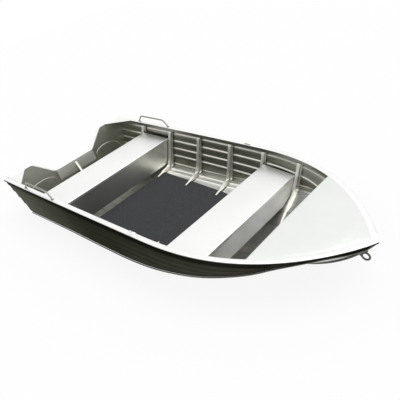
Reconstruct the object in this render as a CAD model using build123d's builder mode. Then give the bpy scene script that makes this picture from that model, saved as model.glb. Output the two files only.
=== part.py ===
from build123d import *
from math import cos, hypot, radians, sin, sqrt
import os

# A small open boat of pressed sheet, afloat on an even keel.
# All sizes are mm. x runs to the bow from amidships, y to port, z up from the waterline.
# A station is a distance from the aft ends of the gunwales, measured towards the bow.

length = 3550
beam = 1636
sheet = 3
draft = 58
seat_height = 325

# The gunwale's outline in plan: a gentle curve aft of the widest station, fuller ahead of it.
widest_station = 1996
aft_half_breadth = 803
bow_power = 2.568
bow_fullness = 0.89

# The gunwale's height above the waterline, as a cubic in station / length.
sheer_terms = (430, 42, 12, -47)
gunwale_width = 49
gunwale_lip = 15
gunwale_flange = 30

# The stem is an arc that leaves the keel line level and ends under the bow's tip.
stem_start = 2600
stem_end = 3535
stem_top = 425

# The hull's sections: station, half breadth and height of the chine, and the station at
# the top edge, which rakes aft at the transom and forward at the bow.
hull_sections = [
    (123, 706, 0, 10),
    (500, 702, 1, 470),
    (900, 701, 4, 900),
    (1300, 712, 16, 1300),
    (1700, 720, 33, 1700),
    (2000, 715, 63, 2010),
    (2250, 695, 104, 2280),
    (2450, 669, 148, 2500),
    (2650, 623, 202, 2710),
    (2850, 540, 254, 2925),
    (3000, 436, 293, 3095),
    (3130, 336, 316, 3235),
    (3270, 211, 331, 3380),
    (3395, 95, 339, 3488),
    (3458, 18, 343, 3528),
]

# Each side has five pressed ledges, these far below the gunwale. Towards the bow the chine
# rises through the lower ones, which fade out there.
ledge_drops = (402, 306, 226, 146, 66)
ledge_step = 9
ledge_half_rise = 9
ledge_fade = 30

deck_edge_station = 2873
nose_station = 3500
transom_rake = 0.262
cutout_half_width = 234
cutout_height = 257
shoulder_half_width = 500
shoulder_height = 434


def half_breadth(station):
    if station < widest_station:
        inset = (widest_station - station) / widest_station
        return beam / 2 - (beam / 2 - aft_half_breadth) * inset**2
    reach = (station - widest_station) / (length - widest_station)
    return beam / 2 * max(1 - reach**bow_power, 0) ** bow_fullness


def slant(station):
    """How much longer a step square to the outline is when it is taken along y."""
    ahead = min(station + 5, length - 1)
    behind = max(station - 5, 0)
    return hypot(1, (half_breadth(ahead) - half_breadth(behind)) / (ahead - behind))


def inboard(station, distance):
    return half_breadth(station) - distance * slant(station)


def sheer(station):
    t = station / length
    return sum(term * t**power for power, term in enumerate(sheer_terms))


def place(station):
    return station - length / 2


stem_radius = ((stem_end - stem_start) ** 2 + (stem_top + draft) ** 2) / (2 * (stem_top + draft))
stem_centre = stem_radius - draft


def keel_height(station):
    run = max(station - stem_start, 0)
    return stem_centre - sqrt(stem_radius**2 - run**2)


def chine(station):
    """Half breadth and height of the chine at a station between two sections."""
    for first, second in zip(hull_sections, hull_sections[1:]):
        if station <= second[0]:
            break
    share = (station - first[0]) / (second[0] - first[0])
    return [first[i] + share * (second[i] - first[i]) for i in (1, 2)]


def bottom_height(station, y):
    """Top of the bottom sheet, which is straight from the keel to the chine."""
    chine_y, chine_z = chine(station)
    keel_z = keel_height(station)
    return keel_z + (chine_z - keel_z) * abs(y) / chine_y + sheet


def ledges(rise, chine_y):
    """Share of the side's rise and outward step of each ledge, from the lowest up."""
    found = []
    for number, drop in enumerate(ledge_drops, start=1):
        share = max((rise - drop) / rise, 0.055 * number)
        fade = min(max((rise - drop) / ledge_fade, 0.05), 1) * min(1, chine_y / 400 + 0.15)
        found.append((share, ledge_step * fade))
    return found


def side_inner(station, z):
    """Half breadth inside the side sheet at a height, clear of its ledges."""
    chine_y, chine_z = chine(station)
    rise = sheer(station) - sheet - chine_z
    share = (z - chine_z) / rise
    steps = ledges(rise, chine_y)
    lean = inboard(station, 8) - chine_y - sum(step for at, step in steps)
    below = sum(step for at, step in steps if at < share)
    return chine_y + lean * share + below - (sheet + 2) * slant(station)


def mirrored(source):
    with BuildPart() as twin:
        mirror(source.part, about=Plane.XZ)
    return twin


# Side sheets, with the ledges pressed in: each strip stands further out than the one below.
def side_outline(section):
    chine_station, chine_y, chine_z, top_station = section
    rise = sheer(top_station) - sheet - chine_z
    slope_length = hypot(top_station - chine_station, rise)
    steps = ledges(rise, chine_y)
    lean = inboard(top_station, 8) - chine_y - sum(step for at, step in steps)
    half = min(ledge_half_rise / rise, 0.02)
    outer = [(chine_y, 0)]
    out = chine_y
    for at, step in steps:
        outer.append((out + lean * (at - half), slope_length * (at - half)))
        out += step
        outer.append((out + lean * (at + half), slope_length * (at + half)))
    outer.append((out + lean, slope_length))
    thickness = sheet * slant(top_station)
    inner = [(y - thickness, z) for y, z in reversed(outer)]
    return outer + inner


def raked_plane(section):
    chine_station, chine_y, chine_z, top_station = section
    rise = sheer(top_station) - sheet - chine_z
    return Plane(
        origin=(place(chine_station), 0, chine_z),
        x_dir=(0, 1, 0),
        z_dir=(rise, 0, chine_station - top_station),
    )


with BuildPart() as side_port:
    for section in hull_sections:
        with BuildSketch(raked_plane(section)):
            with BuildLine():
                Polyline(*side_outline(section), close=True)
            make_face()
    loft(ruled=True)
side_starboard = mirrored(side_port)


# A cross-section plane at a station: sketch x is y to port, sketch y is z.
def station_plane(station):
    return Plane(origin=(place(station), 0, 0), x_dir=(0, 1, 0), z_dir=(1, 0, 0))


def loft_along(outlines):
    """Ruled loft through (station, outline) pairs."""
    with BuildPart() as lofted:
        for station, outline in outlines:
            with BuildSketch(station_plane(station)):
                with BuildLine():
                    Polyline(*outline, close=True)
                make_face()
        loft(ruled=True)
    return lofted


# Bottom sheets, one each side of the keel.
keel_gap = 1
bottom_lap = 4


def bottom_outline(section):
    station, chine_y, chine_z = section[:3]
    keel_z = keel_height(station)
    edge = chine_y - bottom_lap * slant(section[3])
    edge_z = keel_z + (chine_z - keel_z) * edge / chine_y
    return [(keel_gap, keel_z), (edge, edge_z), (edge, edge_z + sheet), (keel_gap, keel_z + sheet)]


bottom_port = loft_along([(section[0], bottom_outline(section)) for section in hull_sections])
bottom_starboard = mirrored(bottom_port)

# A rounded strip runs outside each chine.
chine_strip_width = 11
chine_strip_height = 12
chine_strip_top = 2


def chine_strip_outline(section):
    station, chine_y, chine_z, top_station = section
    out = slant(top_station)
    inner = chine_y + 1.2 * out
    outer = chine_y + chine_strip_width * out
    top = chine_z + chine_strip_top
    bottom = top - chine_strip_height
    return [(inner, bottom), (outer, bottom + 3), (outer, top), (inner, top)]


chine_port = loft_along([(section[0], chine_strip_outline(section)) for section in hull_sections])
chine_starboard = mirrored(chine_port)

# Keel bar and the curved stem bar that carries on from it.
keel_width = 30
keel_depth = 22
keel_start = 170
stem_thickness = 9
with BuildPart() as keel:
    with BuildSketch(Plane.XZ):
        with BuildLine():
            Polyline(
                (place(keel_start), -draft),
                (place(stem_start), -draft),
                (place(stem_start), -draft - stem_thickness),
                (place(stem_start - 250), -draft - keel_depth),
                (place(keel_start + 60), -draft - keel_depth),
                close=True,
            )
        make_face()
    extrude(amount=keel_width / 2, both=True)

with BuildPart() as stem:
    with BuildSketch(Plane.XZ):
        with BuildLine():
            inner_arc = RadiusArc(
                (place(stem_start), -draft), (place(stem_end), stem_top), -stem_radius
            )
            outer_arc = RadiusArc(
                (place(stem_start), -draft - stem_thickness),
                (place(stem_end + stem_thickness * 0.8), stem_top - stem_thickness * 0.3),
                -stem_radius - stem_thickness,
            )
            Line(inner_arc @ 0, outer_arc @ 0)
            Line(inner_arc @ 1, outer_arc @ 1)
        make_face()
    extrude(amount=keel_width / 2, both=True)

# Two planing strakes under each half of the bottom.
strake_rows = (240, 480)
strake_width = 26
strake_depth = 14
strake_ends = (170, 2000)
strake_seam = 0.5


def strake_outline(station, y):
    def under(at_y):
        return bottom_height(station, at_y) - sheet - strake_seam

    half = strake_width / 2
    return [
        (y - half, under(y - half)),
        (y + half, under(y + half)),
        (y + half - 6, under(y) - strake_depth),
        (y - half + 6, under(y) - strake_depth),
    ]


strake_stations = [strake_ends[0], 500, 900, 1300, 1700, strake_ends[1]]
with BuildPart() as strakes:
    for row in strake_rows:
        bar = loft_along([(s, strake_outline(s, row)) for s in strake_stations])
        add(bar.part)
    mirror(about=Plane.XZ)


# The transom leans aft at the top. Its sketch plane has y to port and runs up the lean.
transom_foot = hull_sections[0][0]
transom_foot_z = hull_sections[0][2]
lean_length = hypot(1, transom_rake)


def up_lean(z):
    return (z - transom_foot_z) * lean_length


transom_plane = Plane(
    origin=(place(transom_foot), 0, transom_foot_z), x_dir=(0, 1, 0), z_dir=(1, 0, transom_rake)
)


def transom_station(z):
    return transom_foot - (z - transom_foot_z) * transom_rake


transom_gap = 0.7
side_edge = [(y - transom_gap, z) for y, z in side_outline(hull_sections[0])]
transom_edge = side_edge[len(side_edge) // 2:]
under_gunwale = up_lean(sheer(0) - sheet - 1)
shoulder_end = inboard(0, gunwale_width) - 2
bend_radius = 76
bend_turn = radians(40)


def transom_face(drop=0):
    """The transom's outline, with an S-curve from each shoulder down to the motor cut-out."""
    keel_point = up_lean(-draft + sheet) - drop
    with BuildSketch(mode=Mode.PRIVATE) as outline:
        with BuildLine():
            cutout_y = up_lean(cutout_height) - drop
            shoulder_y = up_lean(shoulder_height) - drop
            over, up = bend_radius * sin(bend_turn), bend_radius * (1 - cos(bend_turn))
            lower = RadiusArc(
                (cutout_half_width, cutout_y), (cutout_half_width + over, cutout_y + up), bend_radius
            )
            upper = RadiusArc(
                (shoulder_half_width - over, shoulder_y - up), (shoulder_half_width, shoulder_y),
                -bend_radius,
            )
            Line(lower @ 1, upper @ 0)
            Polyline(
                upper @ 1,
                (shoulder_end, shoulder_y),
                (shoulder_end, under_gunwale - drop),
                (transom_edge[0][0], under_gunwale - drop),
                *[(y, z - drop) for y, z in transom_edge[1:-1]],
                (transom_edge[-1][0], sheet - drop),
                (0, keel_point),
                (0, cutout_y),
                lower @ 0,
            )
        make_face()
        mirror(about=Plane.YZ)
    return outline.sketch


rim_height = 5
rim_depth = 26
with BuildPart() as transom:
    with BuildSketch(transom_plane):
        add(transom_face())
    extrude(amount=sheet)
    with BuildSketch(transom_plane):
        add(transom_face())
        add(transom_face(drop=rim_height), mode=Mode.SUBTRACT)
    extrude(amount=-rim_depth)


# Motor pads, inside and outside the cut-out.
pad_half_width = 257
pad_height = 110
inner_pad_thickness = 16
outer_pad_thickness = 22
pad_top = cutout_height - 14
outer_pad_height = 185


def pad(height, thickness, face_offset):
    with BuildPart() as plate:
        with BuildSketch(transom_plane.offset(face_offset)):
            with Locations((0, up_lean(pad_top) - height / 2)):
                RectangleRounded(2 * pad_half_width, height, 8)
        extrude(amount=thickness)
    return plate


motor_pad_inner = pad(pad_height, inner_pad_thickness, sheet)
motor_pad_outer = pad(outer_pad_height, outer_pad_thickness, -outer_pad_thickness)

# A folded knee ties the transom to the bottom.
knee_reach = 130
knee_width = 26
knee_top = pad_top - 6
knee_foot = transom_foot + knee_reach
with BuildPart() as transom_knee:
    pad_front = transom_station(knee_top) + (sheet + inner_pad_thickness) * lean_length + 1
    with BuildSketch(Plane.XZ):
        with BuildLine():
            floor = -draft + sheet + 0.5
            Polyline(
                (place(pad_front), knee_top),
                (place(knee_foot), floor + 25),
                (place(knee_foot), floor),
                (place(transom_station(floor) + sheet * lean_length + 2), floor),
                (place(transom_station(pad_top - pad_height) + sheet * lean_length + 2),
                 pad_top - pad_height - 4),
                (place(transom_station(pad_top - pad_height) + 21), pad_top - pad_height - 4),
                close=True,
            )
        make_face()
    extrude(amount=sheet / 2, both=True)
    with BuildSketch(Plane.XZ):
        with BuildLine():
            Polyline(
                (place(pad_front), knee_top),
                (place(knee_foot), floor + 25),
                (place(knee_foot), floor + 20),
                (place(pad_front), knee_top - 6),
                close=True,
            )
        make_face()
    extrude(amount=knee_width / 2, both=True)

# Drain plug low in the transom.
plug_radius = 16
with BuildPart() as drain_plug:
    plug_plane = transom_plane.offset(-8)
    with BuildSketch(plug_plane):
        with Locations((0, 28)):
            Circle(plug_radius)
    extrude(amount=8)


# Gunwales: a flat top with an outer lip and a deeper inner flange.
flange_end = deck_edge_station
gunwale_stations = sorted(
    [0, 235, flange_end, nose_station] + [section[3] for section in hull_sections[1:-1]]
)


def gunwale_cap_outline(station):
    out = half_breadth(station)
    top = sheer(station)
    lip = sheet * slant(station)
    edge = max(inboard(station, gunwale_width), 0.5)
    return [
        (out, top),
        (out, top - gunwale_lip),
        (out - lip, top - gunwale_lip),
        (out - lip, top - sheet),
        (edge, top - sheet),
        (edge, top),
    ]


def gunwale_flange_outline(station):
    edge = inboard(station, gunwale_width)
    web = sheet * slant(station)
    top = sheer(station) - sheet
    return [
        (edge, top), (edge + web, top), (edge + web, top - gunwale_flange),
        (edge, top - gunwale_flange),
    ]


flange_start = 30
flange_stations = [flange_start] + [s for s in gunwale_stations[1:] if s < flange_end] + [flange_end]
cap = loft_along([(s, gunwale_cap_outline(s)) for s in gunwale_stations])
flange = loft_along([(s, gunwale_flange_outline(s)) for s in flange_stations])
with BuildPart() as gunwale_port:
    add(cap.part)
    add(flange.part)
gunwale_starboard = mirrored(gunwale_port)

# Bow cap, which closes the tip where the gunwales meet.
nose_steps = [nose_station, 3515, 3528, 3538, 3546, length]
with BuildPart() as bow_cap:
    with BuildSketch(Plane.XY.offset(sheer(nose_station) - gunwale_lip)):
        with BuildLine():
            nose = [(place(s), half_breadth(s)) for s in nose_steps]
            Polyline(*nose, *[(x, -y) for x, y in reversed(nose[:-1])], close=True)
        make_face()
    extrude(amount=gunwale_lip)
    with BuildSketch(Plane.XY.offset(sheer(nose_station) - gunwale_lip)):
        with BuildLine():
            hollow = [(place(s - 6), max(half_breadth(s) - 4, 0)) for s in nose_steps]
            hollow[0] = (place(nose_station), hollow[0][1])
            Polyline(*hollow, *[(x, -y) for x, y in reversed(hollow[:-1])], close=True)
        make_face()
    extrude(amount=gunwale_lip - sheet, mode=Mode.SUBTRACT)

# Foredeck, tucked under the gunwales, with a folded aft edge.
deck_lap = 20
deck_edge_depth = 32
deck_stations = [deck_edge_station, 3010, 3125, 3240, 3340, 3430, nose_station - 1]
deck_drop = sheet + 0.5


def deck_outline(station):
    reach = max(inboard(station, gunwale_width - deck_lap), 4)
    top = sheer(station) - deck_drop
    return [(-reach, top), (reach, top), (reach, top - sheet), (-reach, top - sheet)]


deck_plate = loft_along([(s, deck_outline(s)) for s in deck_stations])
with BuildPart() as foredeck:
    add(deck_plate.part)
    with BuildSketch(station_plane(deck_edge_station)):
        with Locations((0, sheer(deck_edge_station) - deck_drop - deck_edge_depth / 2)):
            edge_reach = inboard(deck_edge_station, gunwale_width + 2)
            Rectangle(2 * edge_reach, deck_edge_depth)
    extrude(amount=sheet)


# Bow eye: a ring on a plate below the bow's tip.
eye_station = 3468
eye_height = 275
eye_radius = 34
eye_bore = 22
eye_bar = 12
with BuildPart() as bow_eye:
    with BuildSketch(Plane.XZ):
        with Locations((place(eye_station), eye_height)):
            Circle(eye_radius)
        with BuildLine():
            Polyline(
                (place(eye_station - 8), eye_height + eye_radius - 3),
                (place(eye_station + 10), eye_height + eye_radius + 22),
                (place(eye_station - 52), eye_height - 4),
                (place(eye_station - 30), eye_height - 14),
                close=True,
            )
        make_face()
        with Locations((place(eye_station), eye_height)):
            Circle(eye_bore, mode=Mode.SUBTRACT)
    extrude(amount=eye_bar / 2, both=True)


# Quarter plates fill the aft corners between the transom's shoulders and the gunwales.
plate_front = 261
plate_back = 17
with BuildPart() as quarter_plates:
    plate_top = sheer(0) + 1
    with BuildSketch(Plane.XY.offset(plate_top - sheet)):
        with BuildLine():
            Polyline(
                (place(plate_back), shoulder_half_width + 59),
                (place(plate_front), inboard(plate_front, gunwale_width) - 1),
                (place(plate_back), inboard(plate_back, gunwale_width) - 1),
                close=True,
            )
        make_face()
    extrude(amount=sheet)
    mirror(about=Plane.XZ)


# Grab handles stand on the gunwales near the stern.
handle_stations = (392, 432, 785, 850)
handle_rise = 68
handle_radius = 7
handle_bend = 26
handle_inset = 24


def handle(side):
    feet_y = [side * inboard(s, handle_inset) for s in handle_stations]
    heights = [0, handle_rise, handle_rise, 0]
    points = [
        (place(s), y, sheer(s) + rise + 2) for s, y, rise in zip(handle_stations, feet_y, heights)
    ]
    with BuildPart() as tube:
        with BuildLine() as route:
            FilletPolyline(*points, radius=handle_bend)
        with BuildSketch(Plane(origin=route.wires()[0] @ 0, z_dir=route.wires()[0] % 0)):
            Circle(handle_radius)
        sweep(path=route.wires()[0])
    return tube


handle_port = handle(1)
handle_starboard = handle(-1)

# Rowlock blocks on the gunwales, each bored for the rowlock's pin.
rowlock_station = 1929
rowlock_size = (78, 34, 22)
rowlock_bore = 7
rowlock_y = inboard(rowlock_station, 27)


def rowlock_block(side):
    with BuildPart() as block:
        base = Plane(origin=(place(rowlock_station), side * rowlock_y, sheer(rowlock_station)))
        with BuildSketch(base):
            RectangleRounded(rowlock_size[0], rowlock_size[1], 8)
            Circle(rowlock_bore, mode=Mode.SUBTRACT)
        extrude(amount=rowlock_size[2])
    return block


rowlock_port = rowlock_block(1)
rowlock_starboard = rowlock_block(-1)


# Seats: station of the back and front, top height, base height, half widths at the top
# back, top front and base, and half width and height of the panels' lower corners.
seats = {
    "aft": (474, 861, seat_height, 48, 736, 736, 640, (708, 100)),
    "forward": (2142, 2506, seat_height - 9, 104, 710, 668, 452, (626, 172)),
}
seat_fold = 24


def seat_top_part(back, front, top, back_y, front_y):
    with BuildPart() as lid:
        with BuildSketch(Plane.XY.offset(top - sheet)):
            with BuildLine():
                Polyline(
                    (place(back), back_y), (place(front), front_y),
                    (place(front), -front_y), (place(back), -back_y), close=True,
                )
            make_face()
        extrude(amount=sheet)
        for station, y in ((back, back_y), (front - sheet, front_y)):
            with BuildSketch(station_plane(station)):
                with Locations((0, top - sheet - seat_fold / 2)):
                    Rectangle(2 * y, seat_fold)
            extrude(amount=sheet)
    return lid


def seat_panel(station, top, base, top_y, base_y, corner):
    with BuildPart() as panel:
        with BuildSketch(station_plane(station)):
            with BuildLine():
                Polyline(
                    (-top_y, top - sheet), (top_y, top - sheet), corner, (base_y, base),
                    (-base_y, base), (-corner[0], corner[1]), close=True,
                )
            make_face()
        extrude(amount=sheet)
    return panel


def seat_base_part(back, front, base, base_y):
    with BuildPart() as tray:
        with BuildSketch(Plane.XY.offset(base)):
            with BuildLine():
                Polyline(
                    (place(back), base_y), (place(front), base_y),
                    (place(front), -base_y), (place(back), -base_y), close=True,
                )
            make_face()
        extrude(amount=sheet)
    return tray


seat_parts = {}
for name, (back, front, top, base, back_y, front_y, base_y, corner) in seats.items():
    inner_back = back + 2 * sheet
    inner_front = front - 2 * sheet
    seat_parts[f"seat_{name}_top"] = seat_top_part(back, front, top, back_y, front_y)
    seat_parts[f"seat_{name}_back"] = seat_panel(
        back + sheet, top, base, back_y - 4, base_y, corner
    )
    seat_parts[f"seat_{name}_front"] = seat_panel(
        front - 2 * sheet, top, base, front_y - 4, base_y, corner
    )
    seat_parts[f"seat_{name}_base"] = seat_base_part(
        inner_back, inner_front, base, base_y - 2
    )


# Carpet between the seats. It lies flat from side to side, with its edges on the bottom.
carpet_stations = (880, 900, 1300, 1700, 2000, 2160)
carpet_half_widths = (556, 555, 538, 514, 470, 430)
carpet_thickness = 5
carpet_seam = 0.5


def carpet_outline(station, half_width):
    under = bottom_height(station, half_width) + carpet_seam
    return [
        (-half_width, under), (half_width, under),
        (half_width, under + carpet_thickness), (-half_width, under + carpet_thickness),
    ]


carpet = loft_along(
    [(s, carpet_outline(s, w)) for s, w in zip(carpet_stations, carpet_half_widths)]
)


def rest_height(station, y):
    """Height of what a frame's foot stands on: the carpet where there is one, else the bottom."""
    spans = zip(carpet_stations, carpet_stations[1:], carpet_half_widths, carpet_half_widths[1:])
    for start, end, first, last in spans:
        if start <= station <= end:
            half_width = first + (last - first) * (station - start) / (end - start)
            if y < half_width + 15:
                return bottom_height(station, half_width) + carpet_seam + carpet_thickness
    return bottom_height(station, y)


# Side frames: folded channels down each side, with a knee and a foot that tapers to a point
# over the bottom. Columns: station, foot length along y.
frames = [
    (453, 240),
    (885, 238),
    (1297, 248),
    (1711, 256),
    (2110, 250),
    (2524, 400),
]
frame_width = 28
frame_depth = 48
frame_head_drop = 34
foot_rise = 34
foot_bend = 65
knee_rise = 90
foot_clearance = 1


def frame_outline(station, foot_length):
    """Inner edge and hull edge of one port frame, in a cross-section."""
    forward = station + frame_width / 2
    chine_y = chine(forward)[0]
    head_z = sheer(station) - frame_head_drop - sheet
    head_y = inboard(station, gunwale_width + 1)
    corner_y = chine_y - 14
    corner_z = bottom_height(forward, corner_y) + foot_clearance
    knee_z = corner_z + knee_rise
    side_foot_y = side_inner(forward, corner_z + 6) - 4
    knee_y = side_inner(forward, knee_z) - frame_depth
    foot_y = corner_y - foot_length
    bend_y = chine_y - foot_bend
    hull_edge = [
        (foot_y, rest_height(forward, foot_y) + 2),
        (bend_y - 60, bottom_height(forward, bend_y - 60) + 7),
        (corner_y - 10, corner_z),
        (side_foot_y, corner_z + 12),
        (side_inner(forward, head_z) - ledge_step - 4, head_z),
    ]
    inner_edge = [
        (head_y - 8, head_z),
        (knee_y, knee_z),
        (bend_y, bottom_height(forward, bend_y) + foot_rise),
        (foot_y, rest_height(forward, foot_y) + 6),
    ]
    return hull_edge, inner_edge


def thickened(edge, amount):
    """A band along an edge, of about the sheet's thickness, as a closed outline."""
    shifted = [(y + amount[0], z + amount[1]) for y, z in edge]
    return edge + shifted[::-1]


def frame_pair(station, foot_length):
    hull_edge, inner_edge = frame_outline(station, foot_length)
    half = frame_width / 2
    with BuildPart() as pair:
        for web in (station - half, station + half - sheet):
            with BuildSketch(station_plane(web)):
                with BuildLine():
                    Polyline(*hull_edge, *inner_edge, close=True)
                make_face()
            extrude(amount=sheet)
        with BuildSketch(station_plane(station - half)):
            with BuildLine():
                Polyline(*thickened(inner_edge, (3, -4)), close=True)
            make_face()
        extrude(amount=frame_width)
        mirror(about=Plane.XZ)
    return pair


frame_parts = {}
for number, (station, foot_length) in enumerate(frames, start=1):
    frame_parts[f"frame_{number}"] = frame_pair(station, foot_length)


pieces = {
    "side_port": side_port,
    "side_starboard": side_starboard,
    "bottom_port": bottom_port,
    "bottom_starboard": bottom_starboard,
    "chine_port": chine_port,
    "chine_starboard": chine_starboard,
    "keel": keel,
    "stem": stem,
    "strakes": strakes,
    "transom": transom,
    "motor_pad_inner": motor_pad_inner,
    "motor_pad_outer": motor_pad_outer,
    "transom_knee": transom_knee,
    "drain_plug": drain_plug,
    "gunwale_port": gunwale_port,
    "gunwale_starboard": gunwale_starboard,
    "bow_cap": bow_cap,
    "foredeck": foredeck,
    "bow_eye": bow_eye,
    "quarter_plates": quarter_plates,
    "handle_port": handle_port,
    "handle_starboard": handle_starboard,
    "rowlock_port": rowlock_port,
    "rowlock_starboard": rowlock_starboard,
    "carpet": carpet,
    **seat_parts,
    **frame_parts,
}

os.makedirs("parts", exist_ok=True)
for name, piece in pieces.items():
    piece.part.label = name
    export_step(piece.part, f"parts/{name}.step")
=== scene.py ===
import bpy
from math import asin, cos, hypot, pi, radians, sin, sqrt
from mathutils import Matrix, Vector, noise
from mathutils.geometry import tessellate_polygon


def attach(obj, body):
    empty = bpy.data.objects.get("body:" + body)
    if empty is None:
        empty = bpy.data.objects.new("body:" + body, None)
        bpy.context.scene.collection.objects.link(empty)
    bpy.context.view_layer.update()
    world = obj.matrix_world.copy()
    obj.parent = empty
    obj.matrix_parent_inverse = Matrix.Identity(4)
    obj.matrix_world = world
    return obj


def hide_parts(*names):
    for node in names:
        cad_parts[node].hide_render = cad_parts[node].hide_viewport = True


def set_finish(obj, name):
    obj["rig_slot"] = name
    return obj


# An open aluminium boat, afloat. Metres; x to the bow, y to port, z up from the waterline.
# A station is a distance forward of the gunwales' aft ends.
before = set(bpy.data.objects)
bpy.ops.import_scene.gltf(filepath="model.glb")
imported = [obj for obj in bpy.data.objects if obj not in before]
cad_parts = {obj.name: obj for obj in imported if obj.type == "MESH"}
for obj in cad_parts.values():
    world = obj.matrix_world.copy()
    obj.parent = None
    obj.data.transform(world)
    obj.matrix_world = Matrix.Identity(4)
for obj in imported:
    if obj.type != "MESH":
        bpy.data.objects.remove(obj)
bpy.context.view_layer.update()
print("frame loaded")


# Finishes, several with painted shade, painted reflections and painted highlights in their colour

# fades: an axis, two places along it, and the share of the tone at each; most fades paint shade or light into
# a finish
finishes = {
    # Hull outside: bare aluminium given a near-black colour and a dark rim tint as a painted reflection of
    # dark surroundings, painted up to 2.6 times lighter towards the stern, and darkened over its top 10 cm as
    # painted shade under the gunwale lip
    "sideOutsidePaintedShade": {"colour": (0.090, 0.091, 0.076), "rough": 0.36, "grain": (1.5, 40, 40), "rimTint": 0.25,
                    "fades": (("X", -1.75, -0.60, 2.6, 1.0), ("Z", 0.32, 0.42, 1.0, 0.4))},
    "bottomOutside": {"colour": (0.60, 0.60, 0.57), "rough": 0.36, "grain": (1.5, 40, 40)},
    # Side sheets' inside: the sheet painted dark olive as painted shade, and lighter on its up-facing ledges
    # as a painted highlight
    "sideInsidePaintedShade": {"colour": (0.25, 0.253, 0.205), "rough": 0.33, "grain": (1.5, 40, 40)},
    "ledgePaintedHighlight": {"colour": (0.66, 0.66, 0.61), "rough": 0.38, "grain": (1.5, 40, 40)},
    # Bottom's inside: its own pale tone, painted darker towards the middle and lighter towards the chines as
    # painted light, and painted down to half forward of the forward seat as painted shade under the seat and
    # foredeck
    "bottomInside": {"colour": (0.88, 0.88, 0.84), "rough": 0.40, "grain": (1.5, 40, 40), "smudge": 0.16,
                     "fades": (("Y", 0.44, 0.60, 0.85, 1.0), ("X", 0.62, 0.80, 1.0, 0.5))},
    "transomSheet": {"colour": (0.30, 0.305, 0.255), "rough": 0.38, "grain": (40, 2, 40)},
    "beadMetal": {"colour": (0.44, 0.44, 0.38), "rough": 0.38, "grain": (40, 8, 40)},
    "satinSheet": {"colour": (0.90, 0.905, 0.89), "rough": 0.36, "grain": (60, 2, 60), "smudge": 0.05},
    "seatFace": {"colour": (0.70, 0.70, 0.66), "rough": 0.36, "grain": (60, 2, 60), "smudge": 0.10,
                 "fades": (("Y", -0.50, 0.60, 0.70, 1.30),)},
    # Forward seat's front: the seat sheet given a cream colour and little metallic so it shows brightly lit,
    # a painted highlight, and painted darker at its starboard end as a painted reflection
    "seatFaceForwardPaintedLight": {"colour": (0.97, 0.95, 0.88), "rough": 0.34, "grain": (60, 2, 60), "smudge": 0.25,
                        "metallic": 0.2, "fades": (("Y", -0.62, -0.30, 0.40, 1.0),)},
    "deckSheet": {"colour": (0.79, 0.81, 0.785), "rough": 0.38, "grain": (60, 2, 60), "smudge": 0.05},
    "gunwaleMetal": {"colour": (0.93, 0.93, 0.92), "rough": 0.34, "grain": (1.2, 60, 60), "smudge": 0.06},
    # Gunwale extrusion: its rounded outer edge and inner flange painted dark as painted shade, and its outer
    # face painted near black as painted shade below the top
    "gunwaleInsidePaintedShade": {"colour": (0.24, 0.24, 0.21), "rough": 0.40, "grain": (1.2, 60, 60)},
    "gunwaleLipPaintedShade": {"colour": (0.010, 0.010, 0.008), "rough": 0.45, "grain": (1.2, 60, 60), "rimTint": 0.15},
    # Frames: their own tone, painted 1.5 times lighter inboard of 0.59 m, where the feet and the transom knee
    # lie, as a painted highlight
    "frameMetal": {"colour": (0.62, 0.62, 0.57), "rough": 0.34, "grain": (60, 8, 4),
                   "fades": (("Y", 0.59, 0.66, 1.5, 1.0),)},
    "padPlate": {"colour": (0.40, 0.40, 0.36), "rough": 0.55, "grain": (60, 60, 3), "metallic": 0.25},
    # Chine strips, stem, keel and strakes: aluminium given a near-black tone as painted shade on their sides
    "trimPaintedShade": {"colour": (0.16, 0.16, 0.14), "rough": 0.40, "grain": (1.5, 50, 50)},
    # Bow eye ring and lug: given a near-black tone as a painted reflection of dark surroundings
    "eyeBarPaintedReflection": {"colour": (0.11, 0.11, 0.10), "rough": 0.25, "grain": (30, 30, 30), "rimTint": 0.5},
    "polishedBar": {"colour": (0.30, 0.30, 0.28), "rough": 0.22, "grain": (30, 30, 30)},
}
carpetLook = {"dark": (0.006, 0.0065, 0.007), "light": (0.085, 0.088, 0.095), "fibre": 300, "clump": 70}
plugLook = {"colour": (0.012, 0.012, 0.012), "rough": 0.55}


def startFinish(name):
    finish = bpy.data.materials.new(name)
    finish.use_nodes = True
    nodes, links = finish.node_tree.nodes, finish.node_tree.links
    shader = nodes["Principled BSDF"]
    place = nodes.new("ShaderNodeTexCoord").outputs["Object"]
    return finish, nodes, links, shader, place


def noiseNode(nodes, links, vector, scale, detail=4.0, rough=0.6):
    cloud = nodes.new("ShaderNodeTexNoise")
    cloud.inputs["Scale"].default_value = scale
    cloud.inputs["Detail"].default_value = detail
    cloud.inputs["Roughness"].default_value = rough
    links.new(vector, cloud.inputs["Vector"])
    return cloud.outputs["Fac"]


def rangeNode(nodes, links, value, low, high, fromLow=0.3, fromHigh=0.7):
    spread = nodes.new("ShaderNodeMapRange")
    ends = {"From Min": fromLow, "From Max": fromHigh, "To Min": low, "To Max": high}
    for name, end in ends.items():
        spread.inputs[name].default_value = end
    links.new(value, spread.inputs["Value"])
    return spread.outputs["Result"]


def mathNode(nodes, links, operation, *values):
    step = nodes.new("ShaderNodeMath")
    step.operation = operation
    for socket, value in zip(step.inputs, values):
        if isinstance(value, float):
            socket.default_value = value
        else:
            links.new(value, socket)
    return step.outputs[0]


def mixNode(nodes, links, factor, first, second):
    shade = nodes.new("ShaderNodeMix")
    shade.data_type = "RGBA"
    shade.inputs["A"].default_value = (*first, 1)
    shade.inputs["B"].default_value = (*second, 1)
    links.new(factor, shade.inputs["Factor"])
    return shade.outputs["Result"]


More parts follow.
